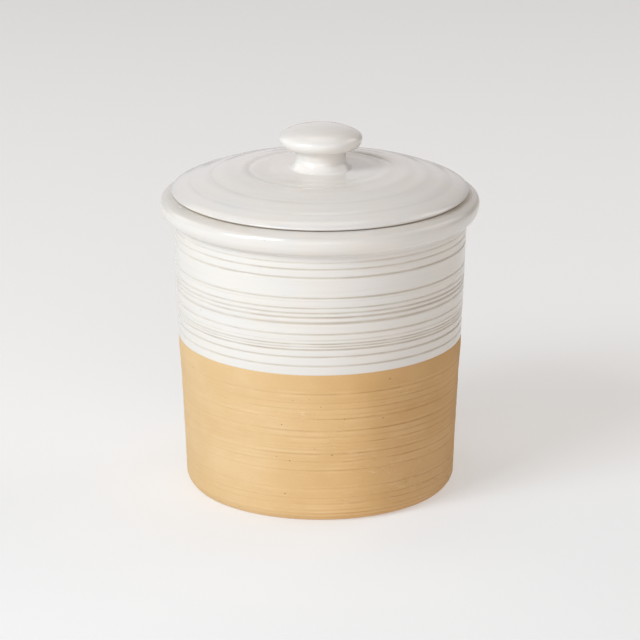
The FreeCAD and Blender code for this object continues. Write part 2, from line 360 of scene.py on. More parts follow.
def ring_vertices(ring, right):
    """The vertex of a ring at each column, or with right = 1 the one after it."""
    return ring * COLUMNS + (np.arange(COLUMNS) + right) % COLUMNS


def map_spots(map_u, v, right):
    """The spots of those vertices on the map, all at the height v."""
    return np.stack([map_u[right:right + COLUMNS], np.full(COLUMNS, v)], 1)


def side_faces(pairs, map_u, map_v):
    """Quads between pairs of rings, and the spots of their corners on the map."""
    quads, spots = [], []
    for low, high in pairs:
        corners = [(low, low, 0), (low, low, 1), (high, low + 1, 1), (high, low + 1, 0)]
        quads.append(np.stack([ring_vertices(ring, right) for ring, _, right in corners], 1))
        spots.append(np.stack([map_spots(map_u, map_v[v], right) for _, v, right in corners], 1))
    return np.concatenate(quads), np.concatenate(spots).reshape(-1, 2)


def end_faces(rings, map_u, map_v):
    """Triangles that close the two ends of an open chain, and the spots of their corners."""
    start_point = np.full(COLUMNS, rings * COLUMNS)
    last = rings - 1
    triangles = np.concatenate([
        np.stack([start_point, ring_vertices(0, 1), ring_vertices(0, 0)], 1),
        np.stack([ring_vertices(last, 0), ring_vertices(last, 1), start_point + 1], 1)])
    middle = (map_u[:-1] + map_u[1:]) / 2
    spots = np.concatenate([
        np.stack([map_spots(middle, map_v[0], 0), map_spots(map_u, map_v[1], 1),
                  map_spots(map_u, map_v[1], 0)], 1),
        np.stack([map_spots(map_u, map_v[-2], 0), map_spots(map_u, map_v[-2], 1),
                  map_spots(middle, map_v[-1], 0)], 1)])
    return triangles, spots.reshape(-1, 2)


def make_piece(name, places, faces, spots, marks, sharp_rings):
    """A mesh object with a map, a value of each mark at every vertex, and sharp rings."""
    mesh = bpy.data.meshes.new(name)
    mesh.from_pydata((places * MM).tolist(), [], faces)
    mesh.polygons.foreach_set("use_smooth", np.ones(len(mesh.polygons), bool))
    layer = mesh.uv_layers.new(name="OFBake")
    layer.data.foreach_set("uv", spots.astype(np.float32).ravel())
    for key, value in marks.items():
        attribute = mesh.attributes.new(key, "FLOAT", "POINT")
        attribute.data.foreach_set("value", value.astype(np.float32))
    ends = np.zeros(2 * len(mesh.edges), int)
    mesh.edges.foreach_get("vertices", ends)
    ring_of = ends.reshape(-1, 2) // COLUMNS
    sharp = (ring_of[:, 0] == ring_of[:, 1]) & np.isin(ring_of[:, 0], sharp_rings)
    mesh.attributes.new("sharp_edge", "BOOLEAN", "EDGE").data.foreach_set("value", sharp)
    mesh.update()
    piece = bpy.data.objects.new(name, mesh)
    bpy.context.scene.collection.objects.link(piece)
    return piece


def turned(name, radius, height, weights, marks, sharp_rows, closed=False, lean=0.0):
    """A mesh object from rows of radii and heights, rows by COLUMNS.

    An open chain starts and ends on the axis, where each end is one vertex. weights say how
    much of the map each stretch between rows gets, marks are values kept at each vertex, and
    lean is how far each row lies towards +X.
    """
    first = 0 if closed else 1
    rings = len(radius) - 2 * first
    kept = slice(first, first + rings)
    places = np.stack([radius * np.cos(ANGLES) + lean, radius * np.sin(ANGLES), height], 2)
    places = places[kept].reshape(-1, 3)
    map_u = MAP_SIDE_MARGIN + (1 - 2 * MAP_SIDE_MARGIN) * np.arange(COLUMNS + 1) / COLUMNS
    map_v = np.concatenate([[0], np.cumsum(weights)])
    map_v = MAP_END_MARGIN + (1 - 2 * MAP_END_MARGIN) * map_v / map_v[-1]
    pairs = [(k, (k + 1) % rings) for k in range(rings - first)]
    quads, spots = side_faces(pairs, map_u, map_v[first:])
    faces = quads.tolist()
    kept_marks = {key: value[kept].reshape(-1) for key, value in marks.items()}
    if not closed:
        places = np.vstack([places, [(0, 0, height[0].mean()), (0, 0, height[-1].mean())]])
        kept_marks = {key: np.append(value, [marks[key][0].mean(), marks[key][-1].mean()])
                      for key, value in kept_marks.items()}
        triangles, end_spots = end_faces(rings, map_u, map_v)
        faces += triangles.tolist()
        spots = np.concatenate([spots, end_spots])
    return make_piece(name, places, faces, spots, kept_marks, np.array(sharp_rows, int) - first)


# ---- outlines, at some depth below the surface ----
LID_EDGE_SOFTNESS = 0.50  # the glaze rounds the lid's lower edge
FLARE_FOOT_RADIUS = 14.3
FLARE_FOOT_PULL = 0.9
FLARE_MIDDLE = (1.2, 1.7)  # out from the neck, and up from the lid
FLARE_MIDDLE_PULL = (0.7, 0.8)
FLARE_TOP_RISE = 3.9
FLARE_TOP_PULL = 0.8


def rim_outline(depth, fine):
    """From the top of the wall over the rolled rim to the start of the lip's round."""
    wall_top = wall_place(WALL_TOP_Z, depth)
    under_in = (RIM_RADIUS - RIM_UNDER_REACH, NECK_HEIGHT + depth)
    widest = (RIM_RADIUS - depth, RIM_WIDEST_Z)
    shoulder = (SHOULDER_RADIUS, SHOULDER_Z - depth)
    seat_out = (SEAT_RADIUS, SEAT_Z - depth)
    land_slope = RIM_LAND_RISE / (SHOULDER_RADIUS - SEAT_RADIUS)
    shoulder_corner = (widest[0], shoulder[1] - land_slope * (widest[0] - shoulder[0]))
    return [
        quarter(wall_top, (wall_top[0], under_in[1]), under_in, count=12 * fine),
        quarter(under_in, (widest[0], under_in[1]), widest, count=10 * fine),
        quarter(widest, shoulder_corner, shoulder, count=10 * fine),
        straight(shoulder, seat_out, step=1.0 / fine),
        straight(seat_out, (LIP_RADIUS, SEAT_Z - depth), step=0.8),
    ]


def inside_outline(depth, step):
    """From the lip's round down the inside to the middle of the floor."""
    lip_start = (LIP_RADIUS, SEAT_Z - depth)
    lip_end = (MOUTH_RADIUS + depth, SEAT_Z - LIP_ROUND)
    wall_foot = (FLOOR_RADIUS + depth, FLOOR_Z + FLOOR_CORNER_ROUND)
    floor_edge = (FLOOR_RADIUS - FLOOR_CORNER_ROUND, FLOOR_Z - depth)
    middle = (0, FLOOR_Z - depth)
    return [
        quarter(lip_start, (lip_end[0], lip_start[1]), lip_end, count=8),
        straight(lip_end, wall_foot, step),
        quarter(wall_foot, (wall_foot[0], floor_edge[1]), floor_edge, count=14),
        straight(floor_edge, middle, step),
        [middle],
    ]


def lid_edge_outline(depth, dome_foot, fine):
    """Round the lid's lower edge and over its lip to the foot of the dome."""
    undercut_slope = LID_UNDERCUT_RISE / LID_UNDERCUT_REACH
    edge = (LID_RADIUS - depth, LID_EDGE_Z - depth * undercut_slope)
    before = (edge[0] - LID_EDGE_SOFTNESS, edge[1] - LID_EDGE_SOFTNESS * undercut_slope)
    after = (edge[0], edge[1] + LID_EDGE_SOFTNESS)
    fall = math.tan(math.radians(LID_FALL_DEG))
    lip_corner = (edge[0], dome_foot[1] - (edge[0] - dome_foot[0]) * fall)
    return np.vstack([quarter(before, edge, after, count=4 * fine),
                      quarter(after, lip_corner, dome_foot, count=12 * fine)])


def flare_outline(neck, top_z, fine):
    """The flare at the foot of the knob's neck, from the lid up to the straight neck."""
    foot = (FLARE_FOOT_RADIUS, top_z)
    middle = np.array([neck + FLARE_MIDDLE[0], top_z + FLARE_MIDDLE[1]])
    pull = np.array([FLARE_MIDDLE_PULL[0], -FLARE_MIDDLE_PULL[1]])
    top = (neck, LID_TOP_Z + FLARE_TOP_RISE)
    return np.vstack([
        sweep(foot, (foot[0] - FLARE_FOOT_PULL, top_z), middle + pull, middle, count=9 * fine),
        sweep(middle, middle - pull, (neck, top[1] - FLARE_TOP_PULL), top, count=9 * fine)])


def lid_outline(depth, fine):
    """From the lower edge of the lid over the lip, the dome and the knob to its crown."""
    fall = math.radians(LID_FALL_DEG)
    dome_foot = (DOME_FOOT_RADIUS - depth * math.sin(fall), DOME_FOOT_Z - depth * math.cos(fall))
    dome_top = (KNOB_FOOT_RADIUS, LID_TOP_Z - depth)
    steep_handle = (dome_foot[0] - (dome_top[1] - dome_foot[1]) / math.tan(fall), dome_top[1])
    flat_handle = (dome_top[0] + (dome_foot[0] - dome_top[0]) / 3, dome_top[1])
    neck = KNOB_NECK_RADIUS - depth
    under_z = KNOB_WIDEST_Z - KNOB_UNDER_DROP + depth
    neck_top = (neck, under_z - KNOB_NECK_COVE - depth)
    under_in = (KNOB_RADIUS - KNOB_UNDER_REACH, under_z)
    widest = (KNOB_RADIUS - depth, KNOB_WIDEST_Z)
    crown = (0, KNOB_WIDEST_Z + KNOB_CROWN - depth)
    return [
        lid_edge_outline(depth, dome_foot, fine),
        sweep(dome_foot, steep_handle, flat_handle, dome_top, count=48 * fine),
        flare_outline(neck, dome_top[1], fine),
        straight((neck, LID_TOP_Z + FLARE_TOP_RISE), neck_top, step=1.2 / fine),
        quarter(neck_top, (neck, under_z), under_in, count=6 * fine),
        quarter(under_in, (widest[0], under_z), widest, count=9 * fine),
        quarter(widest, (widest[0], crown[1]), crown, count=16 * fine),
        [crown],
    ]


# ---- the jar ----
FOOT_SPIRAL = [(0.10, 3.1, 0)]
FOOT_AXIS_FADE = 6  # it calms down within this radius
JAR_OVAL = [(2, 0.06, 0.6)]
GLAZE_EDGE_DROP = 0.35  # the band's edge hangs below the glaze line
BEAD_ROWS = (0, 0.04, 0.12, 0.24, 0.40, 0.62)  # above the band's edge
BEAD_CLEAR = 0.80  # up to here it has rows and a shape of its own
BEAD_HEIGHT = 0.75  # the edge is a bead that swells up over this height
BEAD_SWELL, BEAD_SET_IN = 0.32, 0.10
BEAD_END = 4.0  # above the band's edge, where the bead has gone
ROLL_WAVES, ROLL_SET_IN = [(3, 0.05, 1.1)], 0.10
# Grey under the rim, where the glaze gathers and where painted shade of the cove lies: how much,
# how far below the neck's top, half width.
UNDER_RIM_SHADE, UNDER_RIM_DROP, UNDER_RIM_WIDTH = 0.10, 0.6, 1.5
# Painted shadow of the lid on the land, in the tan and grey of the glaze marks: how far from the
# lid, half width, and round the pot.
LID_SHADOW_WIDE, LID_SHADOW_WIDE_SIDE, LID_SHADOW_WIDE_LEAST = (0, 2.2), (205, 2.5), 0.12
LID_SHADOW_NARROW, LID_SHADOW_NARROW_SIDE = (0.2, 1.1), (-18, 12)
LID_SHADOW_WIDE_TAN, LID_SHADOW_WIDE_GREY, LID_SHADOW_NARROW_TAN = 0.34, 0.60, 0.80
LINER_SPIRAL, LINER_SET_IN = [(0.11, 7.5, 0), (0.05, 3.3, 1.0)], 0.10
LINER_FADE_IN = 6  # the spiral starts over this stretch below the lip
LINER_AXIS_FADE = 8  # and calms down within this radius
LINER_BARE_DEPTH, LINER_BARE_SHARE = 0.12, 2.0  # deeper than this, clay shows through


def make_jar_clay():
    foot_z = FOOT_RECESS_DEPTH
    recess_top = (FOOT_RECESS_RADIUS - FOOT_RECESS_ROUND, foot_z)
    recess_side = (FOOT_RECESS_RADIUS, foot_z - FOOT_RECESS_ROUND)
    stand_in = (FOOT_RECESS_RADIUS, 0)
    stand_out = wall_place(0, BASE_CORNER_REACH)
    heights = wall_heights(BASE_CORNER_RISE, BARE_BAND_HEIGHT + CLAY_RUNS_ON, CLAY_LINES, step=0.9)
    stepped_in = wall_place(BARE_BAND_HEIGHT + CLAY_STEPPED_IN, CLAY_DEPTH)
    chain, starts = joined([
        straight((0, foot_z), recess_top, step=1.1),
        quarter(recess_top, (FOOT_RECESS_RADIUS, foot_z), recess_side, count=6),
        straight(recess_side, stand_in, step=0.5),
        straight(stand_in, stand_out, step=1.1),
        quarter(stand_out, wall_place(0), wall_place(BASE_CORNER_RISE), count=44),
        np.stack(wall_place(heights), 1),
        straight(stepped_in, wall_place(WALL_TOP_Z, CLAY_DEPTH), step=6),
        *rim_outline(CLAY_DEPTH, fine=0.4),
        *inside_outline(CLAY_DEPTH, step=8),
    ])
    row = np.arange(len(chain))
    under, bare = row < starts[4], row < starts[6]
    height = np.where(bare, chain[:, 1], 0)
    depth, shown = line_marks(height, CLAY_LINES,
                              patchy=0.30, shade_side_share=0.22, bank_share=0.34, lit_side_share=0.70)
    wall = (eased(CLAY_MARKS_FADE, height) * bare)[:, None]
    push = eased(CLAY_SWELL, height)[:, None] - depth + row_noise(len(chain), CLAY_ROW_NOISE)
    push = (push + waves(JAR_OVAL)) * wall
    recess = (row < starts[1]) * np.clip(chain[:, 0] / FOOT_AXIS_FADE, 0, 1)
    radius, z = pushed(chain, push + spiral(chain[:, 0], FOOT_SPIRAL) * recess[:, None])
    z += wander(height) * wall
    z[under] = np.maximum(z[under], 0)  # nothing of the foot reaches below the table
    ridge = np.clip(-depth / RIDGE_HEIGHT, 0, 1) * wall
    return turned("jar_clay", radius, z, stretches(chain, ~bare | under, hidden_share=0.10),
                  {"line_and_shade": shown * wall, "ridge": ridge}, [starts[2], starts[3], starts[6]])


def make_band_glaze():
    edge_z = BARE_BAND_HEIGHT - GLAZE_EDGE_DROP
    heights = wall_heights(edge_z, WALL_TOP_Z, GLAZED_LINES, step=1.0)
    heights = np.concatenate([edge_z + np.array(BEAD_ROWS), heights[heights > edge_z + BEAD_CLEAR]])
    inner = joined([
        straight(wall_place(edge_z, GLAZE_DEPTH), wall_place(WALL_TOP_Z, GLAZE_DEPTH), step=5),
        *rim_outline(GLAZE_DEPTH, fine=0.4),
        [(LIP_RADIUS, SEAT_Z - GLAZE_DEPTH)],
    ])[0][::-1]
    chain, starts = joined([
        np.stack(wall_place(heights), 1),
        *rim_outline(0, fine=2),
        [(LIP_RADIUS, SEAT_Z)],
        inner,
    ])
    row = np.arange(len(chain))
    wall = row < starts[1]
    roll = (row >= starts[1]) & (row < starts[-3])
    outer = row < starts[-2]
    height = np.where(outer, chain[:, 1], 0)
    depth, shown = line_marks(height, GLAZED_LINES,
                              patchy=0.22, shade_side_share=0.13, bank_share=0.22, lit_side_share=0.38)
    marks_fade = [(edge_z, 0), (edge_z + BEAD_HEIGHT, 1), *GLAZE_MARKS_END]
    marked = (eased(marks_fade, height) * wall)[:, None]
    full = eased(GLAZE_SWELL, height) * wall
    bead = BEAD_SWELL * np.sqrt(np.clip((height - edge_z) / BEAD_HEIGHT, 0, 1)) - BEAD_SET_IN
    near_edge = eased([(edge_z + BEAD_CLEAR, 1), (edge_z + BEAD_END, 0)], height) * wall
    push = (full * (1 - near_edge) + bead * near_edge)[:, None] - depth * marked
    push += row_noise(len(chain), GLAZE_ROW_NOISE) * marked
    push += (waves(ROLL_WAVES) - ROLL_SET_IN) * roll[:, None]
    radius, z = pushed(chain, push * outer[:, None], closed=True)
    z += wander(height) * (wall * eased(GLAZE_DRIFT_FADE, height))[:, None]
    # the glaze gathers under the rim, grey there, which also paints the cove's shade; and a
    # painted shadow of the lid lies on the land: widely on the left, and closer to the lid on the
    # right
    under_rim_shade = UNDER_RIM_SHADE * hump(height, NECK_HEIGHT - UNDER_RIM_DROP, UNDER_RIM_WIDTH) * outer
    land = outer & (row >= starts[4])
    beyond_lid = chain[:, 0] - LID_RADIUS
    wide_side = LID_SHADOW_WIDE_LEAST + (1 - LID_SHADOW_WIDE_LEAST) * around(*LID_SHADOW_WIDE_SIDE)
    wide = (hump(beyond_lid, *LID_SHADOW_WIDE) * land)[:, None] * wide_side
    narrow = (hump(beyond_lid, *LID_SHADOW_NARROW) * land)[:, None] * around(*LID_SHADOW_NARROW_SIDE)
    marks = {"line_and_shade": shown * marked + LID_SHADOW_WIDE_TAN * wide + LID_SHADOW_NARROW_TAN * narrow,
             "thick_glaze_and_shade": under_rim_shade[:, None] + LID_SHADOW_WIDE_GREY * wide}
    weights = stretches(chain, ~outer, hidden_share=0.06, closed=True)
    return turned("band_glaze_coat", radius, z, weights, marks,
                  [starts[-2], starts[-1] - 1, 0], closed=True)


def make_liner_glaze():
    outer = joined(inside_outline(GLAZE_DEPTH, step=8))[0][::-1]
    chain, starts = joined([outer, *inside_outline(0, step=0.9)])
    row = np.arange(len(chain))
    seen = row >= starts[1]
    down = travelled(chain)
    lip_end = down[starts[2]]
    fade = eased([(lip_end, 0), (lip_end + LINER_FADE_IN, 1)], down) * (row >= starts[2])
    fade = (fade * np.clip(chain[:, 0] / LINER_AXIS_FADE, 0, 1))[:, None]
    push = (spiral(down, LINER_SPIRAL) - LINER_SET_IN) * fade
    radius, z = pushed(chain, push)
    shown = np.clip(-push - LINER_BARE_DEPTH, 0, 1) * LINER_BARE_SHARE * fade
    return turned("liner_glaze_coat", radius, z, stretches(chain, ~seen, hidden_share=0.05),
                  {"line_and_shade": shown, "thick_glaze_and_shade": np.zeros_like(z)}, [starts[1] - 1, starts[1]])


# ---- the lid ----
LID_LEAN = 0.38  # the knob and the disc's middle lie this far towards +X
LID_LEAN_FADE = [(20, 1), (46, 0)]
HOLLOW_SPIRAL, HOLLOW_SET_IN = [(0.13, 6.2, 0), (0.05, 2.3, 2.0)], 0.05
HOLLOW_FADE_IN, HOLLOW_FADE_OUT = 6, 4  # away from the middle, and before the collar
HOLLOW_RIDGE_HEIGHT = 0.12
HOLLOW_DARK_DEPTH, HOLLOW_DARK_SHARE = 0.08, 5.0  # deeper than this the clay is darker
DOME_SPIRAL, DOME_SET_IN = [(0.07, 8.1, 1.9)], 0.07
DOME_SPIRAL_FADE = [(18, 0), (24, 1), (58, 1), (63, 0)]
KNOB_WAVES, KNOB_SET_IN = [(2, 0.10, 0.7), (3, 0.07, 2.2)], 0.17
KNOB_WAVE_FADE = [(8, 0), (15, 1)]
CROWN_RING, CROWN_RING_PITCH = 0.08, 6.0
CROWN_FADE = [(2, 0), (6, 1)]
# The lid's edge isn't quite true: how high it stands, and where round the lid.
LID_EDGE_LIFTS = [(0.18, (-12, 14)), (-0.17, (-78, 4)), (0.17, (-143, 4))]
LID_EDGE_LIFT_REACH = 1.2  # above the lid's edge, where its unevenness has gone
# Tan along the lid's lower edge, where the glaze is thin and where painted shade marks the edge
# turning under: how strong, how far above the edge, half width.
LID_EDGE_SHADE, LID_EDGE_SHADE_RISE, LID_EDGE_SHADE_WIDTH = 0.45, 0.2, 0.7
LID_EDGE_PATCHES, LID_EDGE_LEVEL = (0.2, 0.2, 0.2, 0.2), 0.65
LIP_SHADE, LIP_SHADE_RISE = 0.35, 1.0  # painted shade on the lip, most up to this far above its edge
# The deep ring nearly goes on the right, and is wide and deep just behind that, where it is painted
# dark as the knob's shadow.
DEEP_RING_GAP, DEEP_RING_GAP_SHARE = (-12, 2.5), 0.97
KNOB_SHADOW_ARC, KNOB_SHADOW_WIDER, KNOB_SHADOW_DEEPER = (45, 10), 1.3, 1.1
KNOB_SHADOW_BEND = (45, 4)  # and there it is 1 mm closer to the knob
# The other rings are weaker in two places, each by a share.
RING_GAPS = [(0.75, (-10, 1.5)), (0.65, (110, 1.8))]


def lid_lean(radius):
    """How far a ring of the lid lies towards +X."""
    return LID_LEAN * eased(LID_LEAN_FADE, radius)


def make_lid_clay():
    hollow_z = LID_TOP_Z - LID_THICKNESS
    third = (COLLAR_INNER_RADIUS - KNOB_FOOT_RADIUS) / 3
    hollow_edge = (KNOB_FOOT_RADIUS, hollow_z)
    hollow_foot = (COLLAR_INNER_RADIUS, hollow_z - LID_HOLLOW_RISE)
    inner_start = (COLLAR_INNER_RADIUS, COLLAR_BOTTOM_Z + COLLAR_ROUND)
    inner_end = (COLLAR_INNER_RADIUS + COLLAR_ROUND, COLLAR_BOTTOM_Z)
    outer_start = (COLLAR_RADIUS - COLLAR_ROUND, COLLAR_BOTTOM_Z)
    outer_end = (COLLAR_RADIUS, inner_start[1])
    flange_start = (COLLAR_RADIUS, SEAT_Z)
    flange_edge = (LID_RADIUS - LID_UNDERCUT_REACH, SEAT_Z)
    top = joined(lid_outline(LID_CLAY_DEPTH, fine=1)[:2])[0]
    top_z = LID_TOP_Z - LID_CLAY_DEPTH
    chain, starts = joined([
        straight((0, hollow_z), hollow_edge, step=1.0),
        sweep(hollow_edge, (KNOB_FOOT_RADIUS + third, hollow_z),
              (COLLAR_INNER_RADIUS - third, hollow_z), hollow_foot, count=56),
        straight(hollow_foot, inner_start, step=0.8),
        quarter(inner_start, (COLLAR_INNER_RADIUS, COLLAR_BOTTOM_Z), inner_end, count=8),
        straight(inner_end, outer_start, step=0.6),
        quarter(outer_start, (COLLAR_RADIUS, COLLAR_BOTTOM_Z), outer_end, count=8),
        straight(outer_end, flange_start, step=0.8),
        straight(flange_start, flange_edge, step=0.8),
        straight(flange_edge, top[0], step=0.5),
        top,
        straight((KNOB_FOOT_RADIUS, top_z), (0, top_z), step=5),
        [(0, top_z)],
    ])
    row = np.arange(len(chain))
    seen = row < starts[9]
    down = travelled(chain)
    hollow_end = down[starts[3]]
    fade = np.clip(down / HOLLOW_FADE_IN, 0, 1) * (row < starts[3])
    fade *= eased([(hollow_end - HOLLOW_FADE_OUT, 1), (hollow_end, 0)], down)
    push = (spiral(down, HOLLOW_SPIRAL, way=-1) - HOLLOW_SET_IN) * fade[:, None]
    radius, z = pushed(chain, push)
    marks = {"line_and_shade": np.clip(-push - HOLLOW_DARK_DEPTH, 0, 1) * HOLLOW_DARK_SHARE,
             "ridge": np.clip(push / HOLLOW_RIDGE_HEIGHT, 0, 1)}
    return turned("lid_clay", radius, z, stretches(chain, ~seen, hidden_share=0.08), marks,
                  [starts[2], starts[7], starts[8], starts[9]], lean=lid_lean(chain[:, :1]))


def make_knob_clay():
    disc_z = LID_TOP_Z - LID_CLAY_DEPTH
    foot_z = disc_z - KNOB_SEAT_DEPTH
    chain, starts = joined([
        straight((0, foot_z), (FLARE_FOOT_RADIUS, foot_z), step=3),
        straight((FLARE_FOOT_RADIUS, foot_z), (FLARE_FOOT_RADIUS, disc_z), step=0.3),
        *lid_outline(LID_CLAY_DEPTH, fine=1)[2:],
    ])
    smooth = np.zeros((len(chain), COLUMNS))
    radius, z = pushed(chain, smooth)
    weights = stretches(chain, np.zeros(len(chain), bool), hidden_share=1.0)
    return turned("knob_clay", radius, z, weights, {"line_and_shade": smooth, "ridge": smooth},
                  starts[1:3], lean=LID_LEAN)


def lid_ring_marks(r):
    """The depth of the lid's rings at each row and column, and the grey painted in them: thick
    glaze and painted shade, with the knob's painted shadow on the deep ring.
    """
    valleys = np.zeros((len(r), COLUMNS))
    thick_glaze_and_shade = np.zeros((len(r), COLUMNS))
    knob_shadow = around(*KNOB_SHADOW_ARC)
    for at, depth, half_width, tint in LID_RINGS:
        centre = at + ripple(RING_DRIFT)
        fade = np.clip(1 + ripple(RING_PATCHES), RING_LEAST, RING_MOST)
        shade_width = RING_SHADE_WIDTH
        # the deep ring is widened and darkened behind the knob on the right: painted shadow of the
        # knob
        if at == DEEP_RING:
            centre -= around(*KNOB_SHADOW_BEND)
            shade_width += KNOB_SHADOW_WIDER * knob_shadow
            fade *= 1 - DEEP_RING_GAP_SHARE * around(*DEEP_RING_GAP)
            fade += KNOB_SHADOW_DEEPER * knob_shadow
        else:
            for share, place in RING_GAPS:
                fade *= 1 - share * around(*place)
        valleys += np.minimum(depth * fade, RING_DEPTH_MOST) * hump(r[:, None], centre, half_width)
        thick_glaze_and_shade = np.maximum(thick_glaze_and_shade, tint * fade * hump(r[:, None], centre, shade_width))
    return valleys, np.clip(thick_glaze_and_shade, 0, 1)


def make_lid_glaze():
    inner = joined(lid_outline(LID_GLAZE_DEPTH, fine=0.5))[0][::-1]
    chain, starts = joined([inner, *lid_outline(0, fine=2)])
    row = np.arange(len(chain))
    seen = row >= starts[1]
    lip = seen & (row < starts[2])
    dome = (row >= starts[2]) & (row < starts[3])
    knob = row >= starts[4]
    crown = row >= starts[7]
    r, height = chain[:, 0], chain[:, 1]
    valleys, thick_glaze_and_shade = lid_ring_marks(r)
    swell = (spiral(r, DOME_SPIRAL) - DOME_SET_IN) * eased(DOME_SPIRAL_FADE, r)[:, None]
    push = (swell - valleys) * dome[:, None]
    push += (waves(KNOB_WAVES) - KNOB_SET_IN) * (knob * eased(KNOB_WAVE_FADE, r))[:, None]
    crown_ring = CROWN_RING * (1 - np.cos((KNOB_RADIUS - r) * TURN / CROWN_RING_PITCH)) / 2
    push -= (crown_ring * crown * eased(CROWN_FADE, r))[:, None]
    radius, z = pushed(chain, push)
    near_edge = eased([(LID_EDGE_Z, 1), (LID_EDGE_Z + LID_EDGE_LIFT_REACH, 0)], height) * seen
    z += near_edge[:, None] * sum(rise * around(*place) for rise, place in LID_EDGE_LIFTS)
    edge_shade = hump(height, LID_EDGE_Z + LID_EDGE_SHADE_RISE, LID_EDGE_SHADE_WIDTH) * seen
    patches = np.clip(LID_EDGE_LEVEL + ripple(LID_EDGE_PATCHES), 0, 1)
    lip_shade = LIP_SHADE * eased([(LID_EDGE_Z + LIP_SHADE_RISE, 1), (DOME_FOOT_Z, 0)], height) * lip
    marks = {"line_and_shade": LID_EDGE_SHADE * edge_shade[:, None] * patches,
             "thick_glaze_and_shade": thick_glaze_and_shade * dome[:, None] + lip_shade[:, None]}
    return turned("lid_glaze_coat", radius, z, stretches(chain, ~seen, hidden_share=0.05), marks,
                  [starts[1] - 1, starts[1]], lean=lid_lean(chain[:, :1]))


# ---- materials ----
# Colours of the glaze, before each glaze's own tone.
GLAZE_WARM = (0.825, 0.787, 0.735)
GLAZE_COOL = (0.805, 0.782, 0.750)
GLAZE_STREAK = (0.72, 0.66, 0.57)
GLAZE_HALO = (0.69, 0.62, 0.52)
GLAZE_BROKEN_PALE = (0.57, 0.50, 0.41)
GLAZE_BROKEN_DARK = (0.46, 0.39, 0.32)
# the grey stands for thick glaze and for painted shade
GLAZE_THICK_AND_SHADE = (0.575, 0.57, 0.555)
# Colours that no tone scales.
PINHOLE = (0.34, 0.25, 0.17)
FRECKLE = (0.55, 0.45, 0.33)
CLAY_DEEP = (0.678, 0.444, 0.212)
CLAY_PALE = (0.722, 0.487, 0.250)
CLAY_STREAK = (0.622, 0.383, 0.169)
CLAY_GRAIN = (0.550, 0.326, 0.133)
CLAY_LINE = (0.392, 0.211, 0.072)
CLAY_RIDGE = (0.855, 0.66, 0.42)
CLAY_DASH = (0.88, 0.70, 0.48)
CLAY_SCAR = (0.42, 0.24, 0.09)
IRON = (0.10, 0.055, 0.025)
RUST = (0.34, 0.185, 0.07)
# What the painted light and shade multiply the clay by: on the lit -X side, in the middle, and on
# the shaded +X side.
SIDE_SHADE_LEFT = (1.01, 1.055, 1.105)
SIDE_SHADE_MIDDLE = (0.98, 0.93, 0.81)
SIDE_SHADE_RIGHT = (0.853, 0.781, 0.697)


class Nodes:
    """A short way to write the nodes of a material or the world, in metres."""

    MIX_A, MIX_B, MIX_RESULT = 6, 7, 2  # a colour mix's sockets

    def __init__(self, owner):
        owner.use_nodes = True
        self.owner = owner
        self.tree = owner.node_tree
        self.tree.nodes.clear()

    def add(self, kind, inputs, output=None, **settings):
        """One output of a new node. Its inputs are linked to sockets or set to values."""
        node = self.tree.nodes.new("ShaderNode" + kind)
        for key, value in settings.items():
            setattr(node, key, value)
        for key, value in inputs.items():
            if isinstance(value, bpy.types.NodeSocket):
                self.tree.links.new(value, node.inputs[key])
            else:
                node.inputs[key].default_value = value
        return None if output is None else node.outputs[output]

    def here(self, scale, offset=(0, 0, 0)):
        place = self.add("TexCoord", {}, "Object")
        return self.add("Mapping", {"Vector": place, "Scale": scale, "Location": offset}, "Vector")

    def noise(self, scale, detail, roughness, distortion=0.0):
        """Soft random values from 0 to 1. scale is how many waves a metre has along X, Y and Z."""
        return self.add("TexNoise", {"Vector": self.here(scale), "Scale": 1.0, "Detail": detail,
                                     "Roughness": roughness, "Distortion": distortion}, "Fac")

    def across(self):
        """The place along X."""
        return self.add("SeparateXYZ", {"Vector": self.here((1, 1, 1))}, "X")

    def specks(self, scale, offset, size, soft):
        """1 inside round specks, 0 outside. size and soft are shares of the spacing."""
        place = self.here((scale,) * 3, offset)
        distance = self.add("TexVoronoi", {"Vector": place, "Scale": 1.0}, "Distance")
        return self.ranged(distance, size, size + soft, 1.0, 0.0)

    def ranged(self, value, low, high, to_low=0.0, to_high=1.0):
        """The value, eased from to_low at low and below it to to_high at high and above it."""
        return self.add("MapRange", {"Value": value, "From Min": low, "From Max": high,
                                     "To Min": to_low, "To Max": to_high},
                        "Result", interpolation_type="SMOOTHSTEP")

    def math(self, operation, a, b):
        return self.add("Math", {0: a, 1: b}, "Value", operation=operation)

    def times(self, a, b):
        return self.math("MULTIPLY", a, b)

    def mix(self, share, a, b, blend="MIX"):
        a, b = (v if isinstance(v, bpy.types.NodeSocket) else (*v, 1.0) for v in (a, b))
        return self.add("Mix", {"Factor": share, self.MIX_A: a, self.MIX_B: b},
                        self.MIX_RESULT, data_type="RGBA", blend_type=blend)

    def mark(self, name):
        """The values that the mesh keeps under this name."""
        return self.add("Attribute", {}, "Fac", attribute_name=name)

    def bump(self, height, distance, strength, **under):
        return self.add("Bump", {"Height": height, "Distance": distance, "Strength": strength,
                                 **under}, "Normal")

    def finished(self, inputs):
        """The material, with a shader that has these inputs."""
        self.add("OutputMaterial", {"Surface": self.add("BsdfPrincipled", inputs, "BSDF")})
        return self.owner


